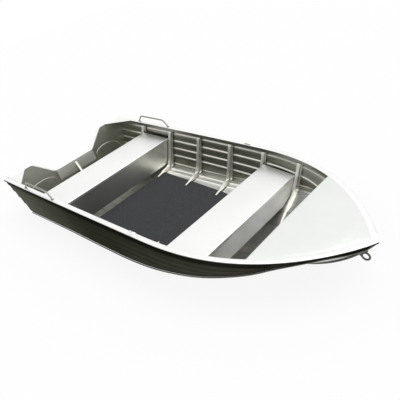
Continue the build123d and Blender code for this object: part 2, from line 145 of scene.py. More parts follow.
def fadeNode(nodes, links, vector, tone, axis, low, high, atLow, atHigh):
    # lighter or darker along one axis of the boat; a Y fade from above 0 is alike on both hands
    parts, scaled = nodes.new("ShaderNodeSeparateXYZ"), nodes.new("ShaderNodeVectorMath")
    links.new(vector, parts.inputs[0])
    along = parts.outputs[axis]
    if axis == "Y" and low > 0:
        along = mathNode(nodes, links, "ABSOLUTE", along)
    scaled.operation = "SCALE"
    links.new(tone, scaled.inputs[0])
    links.new(rangeNode(nodes, links, along, atLow, atHigh, low, high), scaled.inputs["Scale"])
    return scaled.outputs["Vector"]


def raiseGrain(nodes, links, shader, height, strength, distance):
    relief = nodes.new("ShaderNodeBump")
    relief.inputs["Strength"].default_value = strength
    relief.inputs["Distance"].default_value = distance
    links.new(height, relief.inputs["Height"])
    links.new(relief.outputs["Normal"], shader.inputs["Normal"])


def rolledMetal(name, colour, rough, grain, smudge=0.17, metallic=1.0, rimTint=1.0, fades=()):
    finish, nodes, links, shader, place = startFinish(name)
    shader.inputs["Metallic"].default_value = metallic
    shader.inputs["Specular Tint"].default_value = (rimTint, rimTint, rimTint, 1)
    stretch = nodes.new("ShaderNodeMapping")
    stretch.inputs["Scale"].default_value = grain
    links.new(place, stretch.inputs["Vector"])
    streaks = noiseNode(nodes, links, stretch.outputs["Vector"], 6.0, 6.0, 0.65)
    smudges = noiseNode(nodes, links, place, 2.6, 5.0, 0.55)
    scuffs = noiseNode(nodes, links, place, 34.0, 3.0, 0.5)

    dull = [c * (1 - smudge * 0.6) for c in colour]
    bright = [min(c * (1 + smudge * 0.4), 0.97) for c in colour]
    tone = mixNode(nodes, links, rangeNode(nodes, links, smudges, 0.0, 1.0), dull, bright)
    for fade in fades:
        tone = fadeNode(nodes, links, place, tone, *fade)
    links.new(tone, shader.inputs["Base Color"])

    brushed = rangeNode(nodes, links, streaks, rough - 0.05, rough + 0.05)
    wear = mathNode(nodes, links, "ADD", brushed, rangeNode(nodes, links, scuffs, -0.02, 0.03))
    links.new(wear, shader.inputs["Roughness"])
    raiseGrain(nodes, links, shader, streaks, 0.10, 0.0006)
    return finish


def pileCarpet(name, dark, light, fibre, clump):
    finish, nodes, links, shader, place = startFinish(name)
    shader.inputs["Roughness"].default_value = 0.95
    shader.inputs["Specular IOR Level"].default_value = 0.15
    shader.inputs["Sheen Weight"].default_value = 0.15
    strands = noiseNode(nodes, links, place, fibre, 3.0, 0.7)
    tufts = noiseNode(nodes, links, place, clump, 5.0, 0.7)
    strandShare = rangeNode(nodes, links, strands, 0.0, 0.55)
    pile = mathNode(nodes, links, "ADD", strandShare, rangeNode(nodes, links, tufts, 0.0, 0.45))
    links.new(mixNode(nodes, links, pile, dark, light), shader.inputs["Base Color"])
    raiseGrain(nodes, links, shader, pile, 0.7, 0.002)
    return finish


def mouldedPlastic(name, colour, rough):
    finish, nodes, links, shader, place = startFinish(name)
    speckle = noiseNode(nodes, links, place, 300.0)
    links.new(mixNode(nodes, links, speckle, colour, [c * 2 for c in colour]), shader.inputs["Base Color"])
    links.new(rangeNode(nodes, links, speckle, rough - 0.06, rough + 0.06), shader.inputs["Roughness"])
    return finish


metal = {name: rolledMetal(name, **look) for name, look in finishes.items()}
carpetPile = pileCarpet("carpetPile", **carpetLook)
plugPlastic = mouldedPlastic("plugPlastic", **plugLook)
print("finishes ready")


# Hull lines

hull = {
    "length": 3.550, "beam": 1.636, "sheet": 0.003, "draft": 0.058,
    "widest": 1.996, "aftHalf": 0.803, "bowPower": 2.568, "bowFullness": 0.89,
    "sheer": (0.430, 0.042, 0.012, -0.047),
    "stemStart": 2.600, "stemEnd": 3.535, "stemTop": 0.425,
    "ledgeDrops": (0.402, 0.306, 0.226, 0.146, 0.066),
    "ledgeStep": 0.009, "ledgeHalfRise": 0.009, "ledgeFade": 0.030,
    # station, half breadth and height of the chine, and station of the top edge
    "sections": (
        (0.123, 0.706, 0.000, 0.010), (0.500, 0.702, 0.001, 0.470), (0.900, 0.701, 0.004, 0.900),
        (1.300, 0.712, 0.016, 1.300), (1.700, 0.720, 0.033, 1.700), (2.000, 0.715, 0.063, 2.010),
        (2.250, 0.695, 0.104, 2.280), (2.450, 0.669, 0.148, 2.500), (2.650, 0.623, 0.202, 2.710),
        (2.850, 0.540, 0.254, 2.925), (3.000, 0.436, 0.293, 3.095), (3.130, 0.336, 0.316, 3.235),
        (3.270, 0.211, 0.331, 3.380), (3.395, 0.095, 0.339, 3.488), (3.458, 0.018, 0.343, 3.528),
        (3.466, 0.004, 0.345, 3.5365),
    ),
}
sheet = hull["sheet"]
stemHeight = hull["stemTop"] + hull["draft"]
stemRun = hull["stemEnd"] - hull["stemStart"]
stemRadius = (stemRun**2 + stemHeight**2) / (2 * stemHeight)
stemCentre = stemRadius - hull["draft"]
lastSection = len(hull["sections"]) - 1


def placeX(station):
    return station - hull["length"] / 2


def smoothStep(t):
    t = min(max(t, 0.0), 1.0)
    return t * t * (3 - 2 * t)


def halfBreadth(station):
    if station < hull["widest"]:
        inset = (hull["widest"] - station) / hull["widest"]
        return hull["beam"] / 2 - (hull["beam"] / 2 - hull["aftHalf"]) * inset**2
    reach = (station - hull["widest"]) / (hull["length"] - hull["widest"])
    return hull["beam"] / 2 * max(1 - reach ** hull["bowPower"], 0) ** hull["bowFullness"]


def slant(station):
    ahead = min(station + 0.005, hull["length"] - 0.001)
    behind = max(station - 0.005, 0)
    return hypot(1, (halfBreadth(ahead) - halfBreadth(behind)) / (ahead - behind))


def inboard(station, distance):
    return halfBreadth(station) - distance * slant(station)


def sheer(station):
    t = station / hull["length"]
    return sum(term * t**power for power, term in enumerate(hull["sheer"]))


def keelHeight(station):
    run = max(station - hull["stemStart"], 0)
    return stemCentre - sqrt(stemRadius**2 - run**2)


def stemStation(height):
    return hull["stemStart"] + sqrt(max(stemRadius**2 - (stemCentre - height) ** 2, 0))


def circle(count):
    return [2 * pi * k / count for k in range(count)]


def hand(side):
    return "Port" if side > 0 else "Starboard"


def sectionAt(u):
    i = min(int(u), lastSection - 1)
    t = u - i
    at = lambda k: Vector(hull["sections"][k])
    here, ahead = at(i), at(i + 1)
    before = at(i - 1) if i else here * 2 - ahead
    beyond = at(i + 2) if i + 2 <= lastSection else ahead * 2 - here
    return ((ahead - before) * t + (before * 2 - here * 5 + ahead * 4 - beyond) * t**2
            + (here * 3 - ahead * 3 + beyond - before) * t**3) / 2 + here


denseSections = [sectionAt(i / 12) for i in range(lastSection * 12 + 1)]


def chineAt(station):
    for first, second in zip(denseSections, denseSections[1:]):
        if station <= second[0]:
            break
    share = (station - first[0]) / (second[0] - first[0])
    return first[1] + share * (second[1] - first[1]), first[2] + share * (second[2] - first[2])


def bottomHeight(station, y):
    chineY, chineZ = chineAt(station)
    keelZ = keelHeight(station)
    return keelZ + (chineZ - keelZ) * abs(y) / chineY + sheet


def ledgesAt(rise, chineY):
    found = []
    for number, drop in enumerate(hull["ledgeDrops"], start=1):
        fade = min(max((rise - drop) / hull["ledgeFade"], 0.05), 1) * min(1, chineY / 0.4 + 0.15)
        found.append((max((rise - drop) / rise, 0.055 * number), hull["ledgeStep"] * fade))
    return found


def sideInner(station, z):
    chineY, chineZ = chineAt(station)
    rise = sheer(station) - sheet - chineZ
    share = (z - chineZ) / rise
    steps = ledgesAt(rise, chineY)
    lean = inboard(station, 0.008) - chineY - sum(step for at, step in steps)
    out = sum(step for at, step in steps if at < share)
    return chineY + lean * share + out - (sheet + 0.002) * slant(station)


# Making pieces

def newObject(name, data):
    thing = bpy.data.objects.new(name, data)
    bpy.context.scene.collection.objects.link(thing)
    return thing


def addPiece(name, verts, faces, looks, slot, replaced=()):
    mesh = bpy.data.meshes.new(name)
    mesh.from_pydata([tuple(v) for v in verts], [], faces)
    for look in looks:
        mesh.materials.append(look)
    return keepPiece(newObject(name, mesh), slot, replaced)


def keepPiece(piece, slot, replaced=()):
    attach(piece, "root")
    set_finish(piece, slot)
    if replaced:
        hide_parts(*replaced)
    return piece


def settle(piece, sharp=32):
    shaped = bpy.data.meshes.new_from_object(piece.evaluated_get(bpy.context.evaluated_depsgraph_get()))
    piece.modifiers.clear()
    piece.data = shaped
    shaped.shade_smooth()
    shaped.set_sharp_from_angle(angle=radians(sharp))
    return piece


def gridFaces(rows, across, closed=False, joined=False):
    faces = []
    for r in range(rows if joined else rows - 1):
        for c in range(across if closed else across - 1):
            here, ahead = r * across, (r + 1) % rows * across
            nextC = (c + 1) % across
            faces.append((here + c, here + nextC, ahead + nextC, ahead + c))
    return faces


def sheetPiece(name, rows, looks, slot, replaced=(), thick=sheet, outward=-1, sharp=32, weld=False):
    verts = [p for row in rows for p in row]
    piece = addPiece(name, verts, gridFaces(len(rows), len(rows[0])), looks, slot, replaced)
    if weld:
        join = piece.modifiers.new("weld", "WELD")
        join.merge_threshold = 0.0002
    fold = piece.modifiers.new("sheet", "SOLIDIFY")
    fold.thickness = thick
    fold.offset = outward
    fold.material_offset = len(looks) - 1
    return settle(piece, sharp)


def barPiece(name, rows, looks, slot, replaced=(), lookOf=None, sharp=32, joined=False):
    across = len(rows[0])
    verts = [p for row in rows for p in row]
    faces = gridFaces(len(rows), across, closed=True, joined=joined)
    if not joined:
        faces.append(tuple(range(across))[::-1])
        faces.append(tuple(range(len(verts) - across, len(verts))))
    piece = addPiece(name, verts, faces, looks, slot, replaced)
    if lookOf:
        for polygon in piece.data.polygons:
            if len(polygon.vertices) == 4:
                polygon.material_index = lookOf(polygon.vertices[0] % across)
    return settle(piece, sharp)


def mirrorPiece(piece, name, replaced=()):
    twin = newObject(name, piece.data.copy())
    for vertex in twin.data.vertices:
        vertex.co.y = -vertex.co.y
    twin.data.flip_normals()
    return keepPiece(twin, piece["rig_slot"], replaced)


def roundedPath(points, radius, steps=5, closed=False):
    points = [Vector(p) for p in points]
    path = []
    for i, corner in enumerate(points):
        if not closed and i in (0, len(points) - 1):
            path.append(corner)
            continue
        before, after = points[i - 1] - corner, points[(i + 1) % len(points)] - corner
        reach = min(radius, before.length * 0.49, after.length * 0.49)
        start, end = corner + before.normalized() * reach, corner + after.normalized() * reach
        for step in range(steps + 1):
            t = step / steps
            path.append(start * (1 - t) ** 2 + corner * 2 * t * (1 - t) + end * t**2)
    return path


def tubeData(points, radius, closed=False, sides=4):
    curve = bpy.data.curves.new("route", "CURVE")
    curve.dimensions = "3D"
    curve.bevel_depth = radius
    curve.bevel_resolution = sides
    curve.use_fill_caps = True
    line = curve.splines.new("POLY")
    line.points.add(len(points) - 1)
    for spot, point in zip(line.points, points):
        spot.co = (*point, 1)
    line.use_cyclic_u = closed
    holder = newObject("route", curve)
    made = bpy.data.meshes.new_from_object(holder.evaluated_get(bpy.context.evaluated_depsgraph_get()))
    bpy.data.objects.remove(holder)
    return made


def tubePiece(name, points, radius, look, slot, replaced=(), closed=False, sides=4):
    piece = newObject(name, tubeData(points, radius, closed, sides))
    piece.data.materials.clear()
    piece.data.materials.append(look)
    piece.data.shade_smooth()
    piece.data.set_sharp_from_angle(angle=radians(40))
    return keepPiece(piece, slot, replaced)


# Side sheets with their pressed ledges

sides = {"rowsPerSection": 14, "curve": 7, "toe": 0.018, "bulgeFrom": 10, "bulgeOver": 5}


def wallProfile(u):
    station, chineY, chineZ, top = sectionAt(u)
    rise = sheer(top) - sheet - chineZ
    half = min(hull["ledgeHalfRise"] / rise, 0.02)
    profile = [(0.0, 0.0)]
    low, out = 0.0, 0.0
    for middle, step in ledgesAt(rise, chineY):
        profile.append(((low + middle - half) / 2, out))
        for k in range(sides["curve"]):
            t = k / (sides["curve"] - 1)
            profile.append((middle + half * (2 * t - 1), out + step * smoothStep(t)))
        low, out = middle + half, out + step
    return profile + [((low + 1) / 2, out), (1.0, out)]


def bowBulge(u, z):
    first, top = hull["sections"][-1], hull["sections"][-1][3]
    chord = first[0] + (top - first[0]) * (z - first[2]) / (sheer(top) - sheet - first[2])
    return max(stemStation(z) - chord, 0) * smoothStep((u - sides["bulgeFrom"]) / sides["bulgeOver"])


def sidePoint(u, share, out):
    station, chineY, chineZ, top = sectionAt(u)
    rise = sheer(top) - sheet - chineZ
    lean = inboard(top, 0.008) - chineY - sum(step for at, step in ledgesAt(rise, chineY))
    z = chineZ + rise * share
    x = placeX(station + (top - station) * share + bowBulge(u, z))
    return Vector((x, chineY + lean * share + out, z))


def sideRow(u):
    station, chineY, chineZ, top = sectionAt(u)
    toe = min(sides["toe"], chineY * 0.5)
    lap = [Vector((placeX(station), chineY - reach, bottomHeight(station, chineY - reach) + 0.0004))
           for reach in (toe, toe * 0.5)]
    wall = [sidePoint(u, share, out) for share, out in wallProfile(u)]
    foot = wall[0] + Vector((0, -0.0005, sheet + 0.0006))
    return lap + roundedPath([lap[-1], foot, wall[1]], 0.006, 4)[1:-1] + wall[1:]


sideSteps = [i / sides["rowsPerSection"] for i in range(lastSection * sides["rowsPerSection"] + 1)]
sidePort = sheetPiece("sidePort", [sideRow(u) for u in sideSteps],
                      [metal["sideOutsidePaintedShade"], metal["sideInsidePaintedShade"], metal["ledgePaintedHighlight"]], "hull", ["side_port"],
                      sharp=50)
sideAcross = len(sideRow(0)) - 1
firstInside = sideAcross * (len(sideSteps) - 1)
# Inside the side sheet, the ledge columns and the foot at the chine keep the painted-highlight look; every
# other column takes the painted-shade look
for number, polygon in enumerate(sidePort.data.polygons):
    column = (number - firstInside) % sideAcross
    onLedge = column > 6 and 1 < (column - 7) % (sides["curve"] + 1) < sides["curve"] - 1
    if polygon.material_index == 2 and not onLedge and column > 5:
        polygon.material_index = 1
mirrorPiece(sidePort, "sideStarboard", ["side_starboard"])
print("sides made")


# Bottom sheets with swages pressed along them

bottom = {"swages": (0.0, 0.133, 0.266, 0.400, 0.590, 0.648), "half": 0.012, "rise": 0.0075,
          "first": 0.20, "last": 3.0, "fade": 0.12, "edgeGap": 0.030, "lap": 0.002,
          "rimShares": (0.955, 0.98, 1.0)}
swageShape = (-1.0, -0.8, -0.6, -0.4, -0.2, 0.0, 0.2, 0.4, 0.6, 0.8, 1.0)


def swageRise(station, y, chineY):
    ends = smoothStep((station - bottom["first"]) / bottom["fade"])
    ends *= smoothStep((bottom["last"] - station) / bottom["fade"])
    ends *= smoothStep((chineY - bottom["edgeGap"] - abs(y)) / 0.03)
    height = 0
    for line in bottom["swages"]:
        away = abs(abs(y) - line) / bottom["half"]
        if away < 1:
            height = max(height, (1 + cos(pi * away)) / 2)
    return bottom["rise"] * height * ends


def bottomColumns():
    spots = {0.0}
    for line in bottom["swages"]:
        spots.update(round(line + bottom["half"] * t, 5) for t in swageShape if line + t * bottom["half"] > 0)
    lines = sorted(spots)
    filled = []
    for a, b in zip(lines, lines[1:]):
        gaps = max(1, int((b - a) / 0.03))
        filled += [a + (b - a) * k / gaps for k in range(gaps)]
    return filled + [lines[-1]]


bottomLines = bottomColumns()


def bottomRow(u):
    station, chineY = sectionAt(u)[:2]
    edge = chineY - bottom["lap"]
    row = []
    rim = [edge * share for share in bottom["rimShares"]]
    for y in [min(line, rim[0]) for line in bottomLines] + rim[1:]:
        z = bottomHeight(station, y) + swageRise(station, y, chineY)
        row.append(Vector((placeX(station), y, z)))
    return row


bottomPort = sheetPiece("bottomPort", [bottomRow(u) for u in sideSteps],
                        [metal["bottomOutside"], metal["bottomInside"]], "hull", ["bottom_port"],
                        outward=1, sharp=50, weld=True)
mirrorPiece(bottomPort, "bottomStarboard", ["bottom_starboard"])
print("bottom made")


# Chine strips and stem

chineStrip = {"inner": 0.0012, "outer": 0.011, "top": 0.002, "deep": 0.012, "last": 14, "slantEnd": 3.52}


def stripRow(u):
    station, chineY, chineZ, top = sectionAt(u)
    out = slant(min(top, chineStrip["slantEnd"]))
    inner, outer = chineY + chineStrip["inner"] * out, chineY + chineStrip["outer"] * out
    high = chineZ + chineStrip["top"]
    low = high - chineStrip["deep"]
    x = placeX(station)
    corners = [(x, inner, low), (x, outer, low + 0.003), (x, outer, high), (x, inner, high)]
    return roundedPath(corners, 0.0035, 3, True)


chinePort = barPiece("chinePort", [stripRow(u) for u in sideSteps if u <= chineStrip["last"]],
                     [metal["trimPaintedShade"]], "trim", ["chine_port"], sharp=60)
mirrorPiece(chinePort, "chineStarboard", ["chine_starboard"])

stemBar = {"half": 0.015, "thick": 0.009, "steps": 40}


def stemRow(t):
    angle = asin(stemRun / stemRadius) * t
    ring = []
    for out, y in ((-0.001, -1), (stemBar["thick"], -1), (stemBar["thick"], 1), (-0.001, 1)):
        radius = stemRadius + out
        station = hull["stemStart"] + radius * sin(angle)
        ring.append((placeX(station), y * stemBar["half"], stemCentre - radius * cos(angle)))
    return roundedPath(ring, 0.003, 3, True)


barPiece("stemPiece", [stemRow(i / stemBar["steps"]) for i in range(stemBar["steps"] + 1)],
         [metal["trimPaintedShade"]], "trim", ["stem"], sharp=60)
print("strips and stem made")


# Gunwales

gunwale = {"wide": 0.049, "lip": 0.015, "flange": 0.030, "wall": 0.003, "crown": 0.0012, "end": 3.5365,
           "steps": 170, "flangeStart": 0.030, "deckEdge": 2.873, "fade": 0.02}


def gunwaleRow(station):
    wide, wall = gunwale["wide"], gunwale["wall"]
    fade = gunwale["fade"]
    deep = gunwale["flange"] * smoothStep((gunwale["deckEdge"] + fade - station) / fade)
    deep *= smoothStep((station - gunwale["flangeStart"] + fade) / fade)
    top = sheer(station)
    crown, foot = gunwale["crown"], -wall - deep - 0.0005
    outline = [(wall, -gunwale["lip"]), (0.0, -gunwale["lip"])]
    outline += roundedPath([(0, -0.009), (0, 0), (0.012, crown)], 0.004, 4)[1:-1]
    outline += [(0.015, crown), (0.034, crown)]
    outline += roundedPath([(0.038, crown), (wide, 0), (wide, -0.009)], 0.004, 4)[1:-1]
    outline += [(wide, foot), (wide - wall, foot), (wide - wall, -wall), (wall, -wall)]
    out = slant(station)
    half = halfBreadth(station)
    return [Vector((placeX(station), max(half - d * out, 0.0004), top + h)) for d, h in outline]


def bowwardStation(q):
    return gunwale["end"] * (1 - (1 - q) ** 1.5)


gunwaleSteps = sorted({bowwardStation(i / gunwale["steps"]) for i in range(gunwale["steps"] + 1)}
                      | {gunwale["deckEdge"] + k * 0.005 for k in range(5)}
                      | {gunwale["flangeStart"] - gunwale["fade"] + k * 0.005 for k in range(5)})
gunwaleLooks = [metal["gunwaleMetal"], metal["gunwaleLipPaintedShade"], metal["gunwaleInsidePaintedShade"]]


# The outer face takes the near-black painted shade, the rounded outer edge and the inner flange the dark
# painted shade, the flat top the bright gunwale metal
def gunwaleLook(column):
    if column < 2:
        return 1
    return 2 if column < 5 or column > 12 else 0


gunwalePort = barPiece("gunwalePort", [gunwaleRow(s) for s in gunwaleSteps], gunwaleLooks, "gunwale",
                       ["gunwale_port"], lookOf=gunwaleLook, sharp=40)
mirrorPiece(gunwalePort, "gunwaleStarboard", ["gunwale_starboard"])

nose = {"start": 3.500, "rounded": 3.530, "lip": 0.015, "wrap": 0.0006, "steps": 12}


def noseCap():
    steps, reach = nose["steps"], hull["length"] - nose["start"]
    stations = [nose["start"] + reach * (1 - (1 - k / steps) ** 2) for k in range(steps)]
    plan = [(placeX(s), halfBreadth(s) + nose["wrap"]) for s in stations]
    plan += [(placeX(hull["length"]) + nose["wrap"], 0.006), (placeX(hull["length"]) + nose["wrap"], -0.006)]
    plan += [(x, -y) for x, y in reversed(plan[:steps])]
    top, low = sheer(nose["start"]) + 0.0016, sheer(nose["start"]) - nose["lip"] - 0.0006
    rings = []
    for inset, z in ((0.0, low), (0.0, top - 0.004), (0.001, top - 0.0015), (0.003, top)):
        rings.append([Vector((x - inset * (x > placeX(nose["rounded"])), y - max(min(y, inset), -inset), z))
                      for x, y in plan])
    return rings


bowCap = barPiece("bowCap", noseCap(), gunwaleLooks[:2], "gunwale", ["bow_cap"], sharp=40)
# The cap's lower lip takes the same near-black painted shade as the gunwale's outer face
for polygon in bowCap.data.polygons:
    polygon.material_index = 1 if polygon.center.z < sheer(nose["start"]) - 0.003 else 0
print("gunwales made")


# Foredeck

deck = {"edge": 2.873, "lap": 0.020, "drop": 0.0035, "crown": 0.006, "fold": 0.032, "steps": 60, "across": 24,
        "nose": 3.500}


def deckRow(station):
    reach = max(inboard(station, gunwale["wide"] - deck["lap"]), 0.004)
    seam = max(inboard(station, gunwale["wide"] + 0.012), 0.002)
    row = []
    for k in range(-deck["across"], deck["across"] + 1):
        share = k / deck["across"]
        y = share * reach
        rise = deck["crown"] * (1 - (min(abs(y) / seam, 1)) ** 2) * min(1, seam / 0.2)
        dip = 0.0015 if abs(y) > seam else 0
        row.append(Vector((placeX(station), y, sheer(station) - deck["drop"] + rise - dip)))
    return row


def foredeckRows():
    edge = deckRow(deck["edge"])
    rows = []
    for dx, dz in roundedPath([(0.0, -deck["fold"]), (0.0, 0.0), (0.02, 0.0)], 0.006, 5)[:-1]:
        rows.append([p + Vector((dx, 0, dz)) for p in edge])
    steps = deck["steps"]
    return rows + [deckRow(deck["edge"] + 0.02 + (deck["nose"] - deck["edge"] - 0.02) * k / steps)
                   for k in range(steps + 1)]


sheetPiece("foredeckPiece", foredeckRows(), [metal["deckSheet"]], "deck", ["foredeck"], sharp=45)
print("foredeck made")


# Transom

transom = {"foot": 0.123, "footZ": 0.0, "rake": 0.262, "cutout": 0.234, "cutoutZ": 0.257,
           "shoulder": 0.500, "shoulderZ": 0.434, "rim": 0.026, "rimDrop": 0.007, "gap": 0.0007, "curve": 10,
           "bend": 0.076, "turn": 40}
leanLength = hypot(1, transom["rake"])


def onTransom(y, z, out=0.0):
    up = z - transom["footZ"]
    station = transom["foot"] - up * transom["rake"]
    return Vector((placeX(station) + out / leanLength, y, z + out * transom["rake"] / leanLength))


def shoulderCurve():
    lower, upper = [], []
    for k in range(transom["curve"] + 1):
        angle = radians(transom["turn"]) * k / transom["curve"]
        over, up = transom["bend"] * sin(angle), transom["bend"] * (1 - cos(angle))
        lower.append((transom["cutout"] + over, transom["cutoutZ"] + up))
        upper.append((transom["shoulder"] - over, transom["shoulderZ"] - up))
    return lower + upper[::-1]


def transomPlate():
    wall = [(p.y - sheet - transom["gap"], p.z) for p in (sidePoint(0, s, k) for s, k in wallProfile(0))]
    wall = [(y, z) for y, z in wall if z < sheer(0) - 0.008]
    shoulderEnd = inboard(0, gunwale["wide"]) - 0.002
    half = [(0.0, -hull["draft"] + sheet), (wall[0][0], transom["footZ"] + sheet), *wall[1:]]
    half += [(wall[-1][0], sheer(0) - 0.005), (shoulderEnd, sheer(0) - 0.005)]
    half += [(shoulderEnd, transom["shoulderZ"]), *shoulderCurve()[::-1]]
    outline = half + [(-y, z) for y, z in reversed(half) if y > 0]
    verts = [onTransom(y, z) for y, z in outline]
    faces = [tuple(t) for t in tessellate_polygon([verts])]
    looks = [metal["sideOutsidePaintedShade"], metal["transomSheet"]]
    piece = addPiece("transomPlate", verts, faces, looks, "hull", ["transom"])
    if piece.data.polygons[0].normal.x > 0:
        piece.data.flip_normals()
    fold = piece.modifiers.new("sheet", "SOLIDIFY")
    fold.thickness = sheet
    fold.offset = -1
    fold.material_offset = 1
    settle(piece)


def transomRim():
    top = [(inboard(0, gunwale["wide"]) - 0.004, transom["shoulderZ"])] + shoulderCurve()[::-1]
    path = top + [(-y, z) for y, z in reversed(top)]
    wide, drop = transom["rim"], transom["rimDrop"]
    fold = roundedPath([(0.0035, -0.010), (0.0035, 0.0015), (-wide, 0.0015), (-wide, -drop)], 0.004, 4)
    rows = []
    for i, (y, z) in enumerate(path):
        ahead, behind = path[min(i + 1, len(path) - 1)], path[max(i - 1, 0)]
        along = Vector((ahead[0] - behind[0], ahead[1] - behind[1])).normalized()
        up = Vector((along.y, -along.x)) if along.x < 0 else Vector((-along.y, along.x))
        rows.append([onTransom(y + up.x * rise, z + up.y * rise, out) for out, rise in fold])
    sheetPiece("transomRim", rows, [metal["satinSheet"]], "hull", thick=0.0022, outward=1, sharp=40)


beadLoop = {"radius": 0.0060, "round": 0.035,
            "corners": ((0.286, 0.070), (0.298, 0.193), (0.341, 0.217), (0.409, 0.234), (0.512, 0.232),
                        (0.587, 0.215), (0.637, 0.169), (0.656, 0.126), (0.652, 0.070))}


def transomBeads(side):
    corners = [onTransom(side * y, z, sheet - 0.0005) for y, z in beadLoop["corners"]]
    loop = roundedPath(corners, beadLoop["round"], 5, True)
    tubePiece(f"transomBead{hand(side)}", loop, beadLoop["radius"], metal["beadMetal"], "hull", closed=True)


transomPlate()
transomRim()
transomBeads(1)
transomBeads(-1)
print("transom made")


# Motor pads and knee

# inner and outer: depth and thickness of the pads
pads = {"half": 0.257, "top": 0.243, "inner": (0.110, 0.016), "outer": (0.185, 0.022), "round": 0.008,
        "edge": 0.003}


def padPiece(name, deep, thick, offset, replaced):
    half = pads["half"]
    corners = roundedPath([(-half, 0), (half, 0), (half, -deep), (-half, -deep)], pads["round"], 4, True)
    middle = Vector((0, -deep / 2))
    rings = []
    for out, inset in ((0, 0.0), (thick - pads["edge"], 0.0), (thick - 0.001, 0.0012), (thick, pads["edge"])):
        ring = []
        for corner in corners:
            away = corner - middle
            pulled = middle + Vector((away.x * (1 - inset / half), away.y * (1 - inset / (deep / 2))))
            ring.append(onTransom(pulled.x, pads["top"] + pulled.y / leanLength, offset[0] + offset[1] * out))
        rings.append(ring)
    barPiece(name, rings, [metal["padPlate"]], "pad", replaced, sharp=40)


padPiece("motorPadInner", *pads["inner"], (sheet, 1), ["motor_pad_inner"])
padPiece("motorPadOuter", *pads["outer"], (0, -1), ["motor_pad_outer"])

knee = {"top": 0.237, "reach": 0.130, "half": 0.013, "wall": 0.003, "flange": 0.0025, "fold": 0.008,
        "toe": 0.03}


def kneePiece():
    floor = -hull["draft"] + sheet + 0.0005
    topStation = transom["foot"] - (knee["top"] - transom["footZ"]) * transom["rake"]
    start = placeX(topStation + (sheet + pads["inner"][1]) * leanLength + 0.001)
    foot = placeX(transom["foot"] + knee["reach"])
    corners = [(start, knee["top"]), (foot, floor + 0.025), (foot + knee["toe"], floor + 0.006)]
    rows = []
    half, fold = knee["half"], knee["fold"]
    for x, z in roundedPath(corners, knee["toe"], 5):
        ring = [(-half, z - fold), (-half, z), (half, z), (half, z - fold)]
        rows.append([Vector((x, p.x, p.y)) for p in roundedPath(ring, 0.003, 3)])
    sheetPiece("kneeFlange", rows, [metal["frameMetal"]], "frame", thick=knee["flange"], outward=1, sharp=40)
    padFoot = pads["top"] - pads["inner"][0] - 0.004
    low = transom["foot"] - (floor - transom["footZ"]) * transom["rake"] + sheet + 0.002
    padStation = transom["foot"] - (padFoot - transom["footZ"]) * transom["rake"]
    web = [(start, knee["top"] - 0.002), (foot, floor + 0.023), (foot, floor), (placeX(low), floor),
           (placeX(padStation + 0.006), padFoot), (placeX(padStation + 0.022), padFoot)]
    rings = [[Vector((x, y, z)) for x, z in web] for y in (-knee["wall"] / 2, knee["wall"] / 2)]
    barPiece("kneeWeb", rings, [metal["frameMetal"]], "frame", ["transom_knee"])


kneePiece()
print("pads and knee made")


# Seats

seats = {
    # back, front, top height, base height, half widths at the back, front and base, lower corner of a panel
    "Aft": (0.474, 0.861, 0.325, 0.048, 0.736, 0.736, 0.640, (0.708, 0.100)),
    "Forward": (2.142, 2.506, 0.316, 0.104, 0.710, 0.668, 0.452, (0.626, 0.172)),
}
seatLooks = {"AftBack": "seatFace", "AftFront": "seatFace", "ForwardFront": "seatFaceForwardPaintedLight"}
seatFold = {"deep": 0.024, "round": 0.006, "panelBow": 0.0015, "inset": 0.0045, "endGap": 0.004,
            "topSteps": 20, "panelSteps": 24, "levels": 5}


def seatTop(name, back, front, top, backY, frontY):
    low = top - seatFold["deep"]
    profile = roundedPath([(back, low), (back, top), (front, top), (front, low)], seatFold["round"], 6)
    rows = []
    steps = seatFold["topSteps"]
    for k in range(-steps, steps + 1):
        share = k / steps
        row = []
        for station, z in profile:
            half = backY + (frontY - backY) * (station - back) / (front - back)
            sag = 0.0012 * (1 - share**2) if z > top - 0.004 else 0
            row.append(Vector((placeX(station), half * share, z - sag)))
        rows.append(row)
    sheetPiece(f"seat{name}Top", rows, [metal["satinSheet"]], "seat", [f"seat_{name.lower()}_top"], sharp=40)


def seatPanel(name, part, station, facing, top, base, topY, baseY, corner):
    ends = [(base, baseY), (corner[1], corner[0]), (top - sheet, topY)]
    count, steps = seatFold["levels"], seatFold["panelSteps"]
    levels = [(z0 + (z1 - z0) * k / count, y0 + (y1 - y0) * k / count)
              for (z0, y0), (z1, y1) in zip(ends, ends[1:]) for k in range(count)] + [ends[-1]]
    rows = []
    for k in range(-steps, steps + 1):
        share = k / steps
        row = []
        for z, half in levels:
            bow = seatFold["panelBow"] * sin(pi * (z - base) / (top - sheet - base)) * (1 - share**2)
            row.append(Vector((placeX(station) + facing * bow, half * share, z)))
        rows.append(row)
    look = metal[seatLooks.get(name + part, "satinSheet")]
    sheetPiece(f"seat{name}{part}", rows, [look], "seat", [f"seat_{name.lower()}_{part.lower()}"],
               outward=0, sharp=40)


for name, (back, front, top, base, backY, frontY, baseY, corner) in seats.items():
    seatTop(name, back, front, top, backY, frontY)
    inset, gap = seatFold["inset"], seatFold["endGap"]
    seatPanel(name, "Back", back + inset, -1, top, base, backY - gap, baseY, corner)
    seatPanel(name, "Front", front - inset, 1, top, base, frontY - gap, baseY, corner)
print("seats made")


# Carpet's outline and level, which the frames' feet need too

carpet = {"first": 0.880, "last": 2.160, "thick": 0.005, "seam": 0.0006,
          "stations": (0.880, 1.300, 1.700, 2.000, 2.160), "halves": (0.556, 0.538, 0.514, 0.470, 0.430),
          "rows": 150, "across": 60, "wander": 0.0015, "lift": 0.0006}


